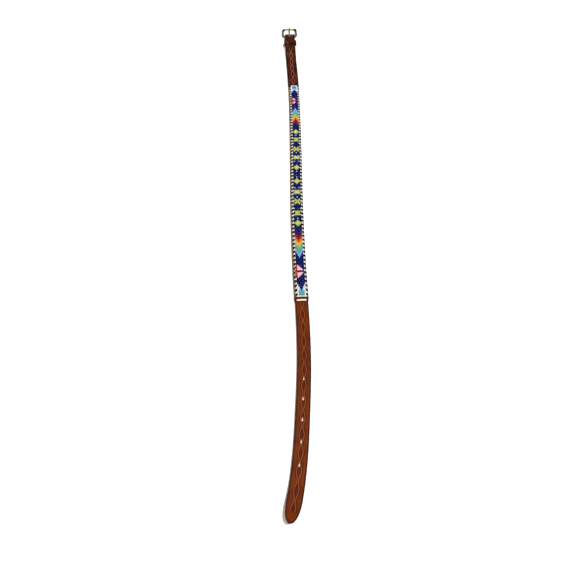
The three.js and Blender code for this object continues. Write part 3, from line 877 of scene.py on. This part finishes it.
def make_strands(rng):
    share = np.linspace(-1, 1, 40)
    paths = []
    for i in range(STRAND_COUNT):
        off = (i - (STRAND_COUNT - 1) / 2) / ((STRAND_COUNT - 1) / 2)
        reach = BAR_LENGTH / 2 - STRAND_RADIUS - 0.5 * off**2
        across = share * reach
        pull = np.sqrt(np.clip(1 - np.abs(share) ** 7, 0, 1))
        aside = off * (BAR_BREADTH / 2 - 0.2 - STRAND_RADIUS) * (0.35 + 0.65 * pull)
        aside = aside + STRAND_WANDER * np.sin(share * rng.uniform(2, 5) + rng.uniform(0, 6))
        crown = LEATHER + BAR_PROUD - STRAND_RADIUS - STRAND_CAMBER * off**2
        height = crown - STRAND_SINK * np.abs(share) ** 9
        paths.append(laid(across, SLIT_PLACE + aside, height))
    return tube_piece("thread_strands", paths, STRAND_RADIUS, 10, [white_thread])


# Levels of the bundle's core, with its size there as a share
CORE_LEVELS = [(0.4, 0.8), (0.7, 1.0), (LEATHER - 0.5, 1.0), (LEATHER - 0.2, 0.85)]
CORE_SIDES = 32


def make_bundle_core():
    """The rest of the bundle, under the strands that show."""
    angle = np.linspace(0, 2 * math.pi, CORE_SIDES, endpoint=False)
    radius = BAR_BREADTH / 2 - 0.3
    across = radius * np.cos(angle) + np.sign(np.cos(angle).round(6)) * (BAR_LENGTH / 2 - radius)
    aside = radius * np.sin(angle)
    rings = [laid(across * size, SLIT_PLACE + aside * size, level) for level, size in CORE_LEVELS]
    faces = lattice_faces(len(CORE_LEVELS), CORE_SIDES, False)
    return mesh_piece("thread_bundle", np.stack(rings), faces, [white_thread])


thread_strands = make_strands(np.random.default_rng(STRAND_SEED))
thread_bundle = make_bundle_core()
for piece in (thread_strands, thread_bundle):
    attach(piece, "strap")
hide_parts("thread_bar")


# Fold stitches
# Two short rows of brown waxed thread that close the fold behind the keeper.

STITCH_ROWS = (45.5, 50.5)
STITCH_COUNT = 5
STITCH_PITCH = 2.6
STITCH_HALF = 0.95
STITCH_RADIUS = 0.22
# Height over the leather at even steps along a stitch
STITCH_RISE = np.array([-0.45, 0.02, 0.1, 0.12, 0.1, 0.02, -0.45])


def stitch_finish():
    thread = Finish("brown_thread", specular_ior_level=0.35)
    ply = thread.noise(2400, 2)
    body = thread.blend(ply, tint("2d140b"), tint("5a2e19"))
    return thread.shade(base_color=body, roughness=0.5 + 0.3 * ply, normal=thread.bump(ply, 0.4, 0.0002))


def make_stitches():
    paths = []
    for behind in STITCH_ROWS:
        top = underside_at(np.array(behind)) + LEATHER
        for i in range(STITCH_COUNT):
            middle = (i - (STITCH_COUNT - 1) / 2) * STITCH_PITCH
            across = middle + np.linspace(-STITCH_HALF, STITCH_HALF, len(STITCH_RISE))
            paths.append(laid(across, behind + 0 * across, top + STITCH_RISE))
    return tube_piece("fold_stitches", paths, STITCH_RADIUS, 8, [stitch_finish()])


fold_stitches = make_stitches()
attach(fold_stitches, "strap")


# Keeper
# A loop of thin leather round the strap's upper layer, its join hidden under the strap. A line is
# creased along both rims and darkened with painted shade, the rims are dyed dark like the strap's
# edges, and the upright sides are darkened with painted shade.

KEEPER_BEHIND = 27.5
KEEPER_WIDTH = 12
KEEPER_LEATHER = 1.2
KEEPER_BEND = 1.95
KEEPER_SIDE_ROOM = 1
KEEPER_ROOM = 0.9
KEEPER_HALF = HALF_WIDTH + KEEPER_SIDE_ROOM + KEEPER_LEATHER / 2
KEEPER_BOTTOM = FOLD_LEATHER + CLEARANCE + KEEPER_LEATHER / 2
KEEPER_SIDE = FOLD_LEATHER + 2 * CLEARANCE + 1.5 * KEEPER_LEATHER + LEATHER + KEEPER_ROOM
KEEPER_CROWN = 0.3
KEEPER_BULGE = 0.12
KEEPER_BEVEL = 0.4
KEEPER_COLUMNS = 34
KEEPER_STATIONS = 150
KEEPER_CREASE = (4.6, 0.3)
KEEPER_CREASE_DEPTH = 0.22
KEEPER_RIM = (0.2, 0.8)
KEEPER_RIM_DYE = 0.25
# Where the keeper's upright sides take painted shade, by distance from its middle
KEEPER_SIDE_SHADE = (HALF_WIDTH - 0.4, HALF_WIDTH + 1.2)


def arc(middle, radius, start, end, steps):
    angle = np.linspace(start, end, steps)
    return np.stack([middle[0] + radius * np.cos(angle), middle[1] + radius * np.sin(angle)], -1)


def evenly(path, count):
    """A closed path as that many points at equal steps along it."""
    loop = np.concatenate([path, path[:1]])
    reach = np.concatenate([[0], np.cumsum(np.linalg.norm(np.diff(loop, axis=0), axis=1))])
    places = np.arange(count) * reach[-1] / count
    return np.stack([np.interp(places, reach, loop[:, k]) for k in (0, 1)], -1)


def outward(path):
    ahead = np.roll(path, -1, axis=0) - np.roll(path, 1, axis=0)
    ahead /= np.linalg.norm(ahead, axis=1)[:, None]
    return np.stack([ahead[:, 1], -ahead[:, 0]], -1)


def keeper_path():
    radius = KEEPER_BEND
    x, low, high = KEEPER_HALF - radius, KEEPER_BOTTOM + radius, KEEPER_SIDE - radius
    across = np.linspace(x, -x, 30)[1:-1]
    crown = np.stack([across, KEEPER_SIDE + KEEPER_CROWN * (1 - (across / x) ** 2)], -1)
    return evenly(np.concatenate([
        arc((x, low), radius, -math.pi / 2, 0, 9),
        arc((x, high), radius, 0, math.pi / 2, 9),
        crown,
        arc((-x, high), radius, math.pi / 2, math.pi, 9),
        arc((-x, low), radius, math.pi, 1.5 * math.pi, 9),
    ]), KEEPER_STATIONS)


def make_keeper():
    path = keeper_path()
    normal = outward(path)
    u, w = strip_section(KEEPER_WIDTH / 2, KEEPER_LEATHER, KEEPER_BEVEL, KEEPER_COLUMNS)
    outer = w > KEEPER_LEATHER / 2 - HAIR
    crease = line_cut(np.abs(u), KEEPER_CREASE) * outer
    w = w - KEEPER_CREASE_DEPTH * crease + KEEPER_BULGE * outer * np.cos(u / KEEPER_WIDTH * math.pi)
    x = BAR.x + path[:, :1] + normal[:, :1] * w
    z = path[:, 1:] + normal[:, 1:] * w
    y = BAR.y - KEEPER_BEHIND + u + 0 * x
    keeper = mesh_piece(
        "keeper", np.stack([x, y, z], -1) * MM, lattice_faces(len(path), len(u), True), [tooled_leather])
    rim = 1 - smoothstep(KEEPER_WIDTH / 2 - np.abs(u), *KEEPER_RIM)
    # The keeper's upright sides are darkened with painted shade.
    side = smoothstep(np.abs(path[:, :1]), *KEEPER_SIDE_SHADE)
    set_mask(keeper, "groove", np.tile(crease, len(path)))
    set_mask(keeper, "edge", np.maximum(KEEPER_RIM_DYE * rim, side).ravel())
    set_mask(keeper, "flesh", np.tile((w < 0) & (rim < 0.5), len(path)))
    return keeper


keeper = make_keeper()
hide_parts("keeper_loop")
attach(keeper, "strap")


# Buckle frame
# One casting of plated metal: a round bar that the strap folds over, side rails, and a broad far
# rail that the prong's tip rests on. The plating is polished, with fine wear, and its flanks are
# darkened with painted dark reflection.

WINDOW_SIDE_GAP = 1.9
SIDE_RAIL = 3
RAIL_X = HALF_WIDTH + WINDOW_SIDE_GAP + SIDE_RAIL / 2
FAR_RAIL = 4.6
RAIL_THICKNESS = 3.4
BAR_TO_FAR_EDGE = 29
FAR_Y = BAR_TO_FAR_EDGE - FAR_RAIL / 2
FAR_CORNER = 5.4
HEEL_CORNER = 3
HEEL_BLEND = 5
FAR_BLEND = 8
# How far the rails' section leans from round to square
SQUARENESS = 0.28
RING_STATIONS = 260
RING_SIDES = 28
# How far the frame's flanks are darkened with painted dark reflection
FLANK_DARK_REFLECTION = 0.95
SURFACE_GAP = 0.05
DROOP = math.asin((BAR.z - SURFACE_GAP) / math.hypot(FAR_Y, RAIL_THICKNESS / 2)) - math.atan2(
    RAIL_THICKNESS / 2, FAR_Y)


def plated_finish():
    """Pale gold plating, polished, with hairline scratches and dull patches, and near-black painted
    reflection on the frame's flanks and on the prong.
    """
    plate = Finish("pale_plate", metallic=1.0)
    dull = plate.spread(plate.noise(160, 4), 0.42, 0.72)
    scratch = plate.noise(1500, 2, (0.12, 1, 1))
    body = plate.blend(dull * 0.6, tint("ddd7bf"), tint("8f876a"))
    # Near-black painted reflection on the frame's flanks and on the prong.
    body = plate.blend(plate.mask("dark_reflection"), body, tint("17160f"))
    rough = 0.09 + 0.14 * dull + 0.04 * scratch
    return plate.shade(base_color=body, roughness=rough, normal=plate.bump(scratch, 0.06, 0.0001))


pale_plate = plated_finish()


def on_bar(points):
    """Points drawn flat round the bar, turned down to the droop and set on the bar, in metres."""
    x, y, z = np.moveaxis(points, -1, 0)
    turned_y = y * math.cos(DROOP) + z * math.sin(DROOP)
    turned_z = -y * math.sin(DROOP) + z * math.cos(DROOP)
    return np.stack([x + BAR.x, turned_y + BAR.y, turned_z + BAR.z], -1) * MM


def ring_path():
    heel, far = RAIL_X - HEEL_CORNER, RAIL_X - FAR_CORNER
    return evenly(np.concatenate([
        [(0.0, 0.0)],
        arc((heel, HEEL_CORNER), HEEL_CORNER, -math.pi / 2, 0, 20),
        arc((far, FAR_Y - FAR_CORNER), FAR_CORNER, 0, math.pi / 2, 30),
        arc((-far, FAR_Y - FAR_CORNER), FAR_CORNER, math.pi / 2, math.pi, 30),
        arc((-heel, HEEL_CORNER), HEEL_CORNER, math.pi, 1.5 * math.pi, 20),
    ]), RING_STATIONS)


def make_buckle():
    path = ring_path()
    normal = outward(path)
    to_side = smoothstep(path[:, 1], 0, HEEL_BLEND)
    to_far = smoothstep(path[:, 1], FAR_Y - FAR_BLEND, FAR_Y)
    side = BAR_RADIUS + (SIDE_RAIL / 2 - BAR_RADIUS) * to_side
    half = side + (FAR_RAIL / 2 - side) * to_far
    thick = BAR_RADIUS + (RAIL_THICKNESS / 2 - BAR_RADIUS) * to_side
    angle = np.linspace(0, 2 * math.pi, RING_SIDES, endpoint=False)
    square = 1 - SQUARENESS * to_side[:, None]
    cos, sin = np.cos(angle), np.sin(angle)
    out = half[:, None] * np.sign(cos) * np.abs(cos) ** square
    up = thick[:, None] * np.sign(sin) * np.abs(sin) ** square
    x = path[:, :1] + normal[:, :1] * out
    y = path[:, 1:] + normal[:, 1:] * out
    points = on_bar(np.stack([x, y, up], -1))
    ring = mesh_piece("buckle", points, lattice_faces(len(path), len(angle), True), [pale_plate])
    # The frame's flanks take painted dark reflection.
    flank = smoothstep(np.abs(path[:, :1]), RAIL_X - FAR_CORNER - 1, RAIL_X - 1) + 0 * out
    set_mask(ring, "dark_reflection", FLANK_DARK_REFLECTION * flank.ravel())
    return ring


buckle = make_buckle()
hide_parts("buckle_frame")
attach(buckle, "buckle")


# Prong
# A strip of the same plated metal, darkened all over with painted dark reflection, its end bent
# into an eye round the bar and its tip resting in the middle of the far rail.

PRONG_THICKNESS = 1.1
PRONG_OVERHANG = 1.2
PRONG_BEVEL = 0.4
# How far the prong is darkened with painted dark reflection
PRONG_DARK_REFLECTION = 0.6
# The rounded end: where it starts as a share of the strip, its length, and the end's width and thickness
NOSE_FROM = 0.97
NOSE_LENGTH = 0.031
NOSE_WIDTH = 0.45
NOSE_THICKNESS = 0.5


EYE_RADIUS = FOLD_INNER + PRONG_THICKNESS / 2
EYE_TURN = (math.radians(-30), math.radians(-270))
EYE_STATIONS = 34
PRONG_REST = RAIL_THICKNESS / 2 + CLEARANCE + PRONG_THICKNESS / 2
# The leg's middle line before its bends are smoothed: distance in front of the bar, height over it
PRONG_LEG = np.array([
    (0, EYE_RADIUS), (FAR_Y * 0.22, PRONG_REST + 0.1), (FAR_Y / 2, PRONG_REST + 0.3),
    (FAR_Y, PRONG_REST), (BAR_TO_FAR_EDGE + PRONG_OVERHANG, PRONG_REST - 0.5),
])
LEG_STATIONS = 40
LEG_SMOOTHINGS = 6


def prong_path():
    y = np.linspace(0, PRONG_LEG[-1, 0], LEG_STATIONS)
    leg = np.stack([y, np.interp(y, PRONG_LEG[:, 0], PRONG_LEG[:, 1])], -1)
    for _ in range(LEG_SMOOTHINGS):
        leg[1:-1, 1] = (leg[:-2, 1] + 2 * leg[1:-1, 1] + leg[2:, 1]) / 4
    back = np.linspace(*EYE_TURN, EYE_STATIONS)
    eye = EYE_RADIUS * np.stack([np.cos(back), np.sin(back)], -1)
    return np.concatenate([eye[:-1], leg])


def make_prong():
    path = prong_path()
    ahead = np.gradient(path, axis=0)
    ahead /= np.linalg.norm(ahead, axis=1)[:, None]
    normal = np.stack([-ahead[:, 1], ahead[:, 0]], -1)
    u, w = strip_section(PRONG_WIDTH / 2, PRONG_THICKNESS, PRONG_BEVEL, 8)
    into_nose = np.clip((np.linspace(0, 1, len(path)) - NOSE_FROM) / NOSE_LENGTH, 0, 1)[:, None]
    full = np.sqrt(1 - into_nose**2)
    x = u * (NOSE_WIDTH + (1 - NOSE_WIDTH) * full)
    thinned = w * (NOSE_THICKNESS + (1 - NOSE_THICKNESS) * full)
    y = path[:, :1] + normal[:, :1] * thinned
    z = path[:, 1:] + normal[:, 1:] * thinned
    points = on_bar(np.stack([x, y, z], -1))
    strip = mesh_piece("prong", points, lattice_faces(len(path), len(u), False), [pale_plate])
    # The prong is darkened all over with painted dark reflection.
    set_mask(strip, "dark_reflection", np.full(x.size, PRONG_DARK_REFLECTION))
    return strip


prong = make_prong()
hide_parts("buckle_prong")
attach(prong, "prong")


# Studio
# A white table, a soft sun from the right and above, and a sky that is bright over the viewer's
# shoulder and dark beyond the belt, so that the polished metal has something to reflect.

FLOOR_SIZE = 6.0
FLOOR_DROP = 0.0001
CAMERA_PLACE = (BAR.x * MM - 0.034283, BAR.y * MM - 1.035458, 0.57995)
CAMERA_TILT = math.radians(90 - 53.475)
CAMERA_TURN = -0.0335
SENSOR = 36
FOCAL_PIXELS = 560
FRAME_PIXELS = 580


def table_finish():
    table = Finish("white_table", roughness=0.8, specular_ior_level=0.2)
    speck = table.noise(40, 3)
    return table.shade(base_color=table.blend(speck, tint("fbfbfb"), tint("f6f6f6")))


def make_table():
    half = FLOOR_SIZE / 2
    points = np.array([(-half, -half, 0), (half, -half, 0), (half, half, 0), (-half, half, 0)], float)
    points[:, 2] -= FLOOR_DROP
    return mesh_piece("table", points, [[0, 1, 2, 3]], [table_finish()])


def make_camera():
    data = bpy.data.cameras.new("camera")
    data.sensor_width = SENSOR
    data.lens = SENSOR * FOCAL_PIXELS / FRAME_PIXELS
    data.clip_start = 0.01
    data.clip_end = 50
    camera = bpy.data.objects.new("camera", data)
    camera.location = CAMERA_PLACE
    camera.rotation_euler = (CAMERA_TILT, 0, CAMERA_TURN)
    bpy.context.scene.collection.objects.link(camera)
    bpy.context.scene.camera = camera


SUN_FROM = (0.41, -0.1, 0.91)
SUN_ANGLE = math.radians(8)
SUN_STRENGTH = 3.1
SKY_MIDDLE = (0.2, -0.6, 0.77)
SKY_STRENGTH = 0.9
# The sky's colours, from its dark side to its bright one, with their places on the ramp
SKY_COLOURS = [(0.1, (0.1, 0.1, 0.09, 1)), (0.7, (1, 0.93, 0.84, 1))]


def make_sun():
    data = bpy.data.lights.new("window", "SUN")
    data.angle = SUN_ANGLE
    data.energy = SUN_STRENGTH
    light = bpy.data.objects.new("window", data)
    light.rotation_euler = (-Vector(SUN_FROM)).to_track_quat("-Z", "Y").to_euler()
    bpy.context.scene.collection.objects.link(light)


def make_sky():
    world = bpy.data.worlds.new("sky")
    world.use_nodes = True
    tree = world.node_tree
    place = tree.nodes.new("ShaderNodeTexCoord")
    toward = tree.nodes.new("ShaderNodeVectorMath")
    toward.operation = "DOT_PRODUCT"
    toward.inputs[1].default_value = SKY_MIDDLE
    ramp = tree.nodes.new("ShaderNodeValToRGB")
    for stop, (position, colour) in zip(ramp.color_ramp.elements, SKY_COLOURS):
        stop.position = position
        stop.color = colour
    tree.links.new(place.outputs["Generated"], toward.inputs[0])
    tree.links.new(toward.outputs["Value"], ramp.inputs[0])
    tree.links.new(ramp.outputs[0], tree.nodes["Background"].inputs["Color"])
    tree.nodes["Background"].inputs["Strength"].default_value = SKY_STRENGTH
    bpy.context.scene.world = world


table = make_table()
make_camera()
make_sun()
make_sky()
bpy.context.scene.view_settings.view_transform = "Standard"
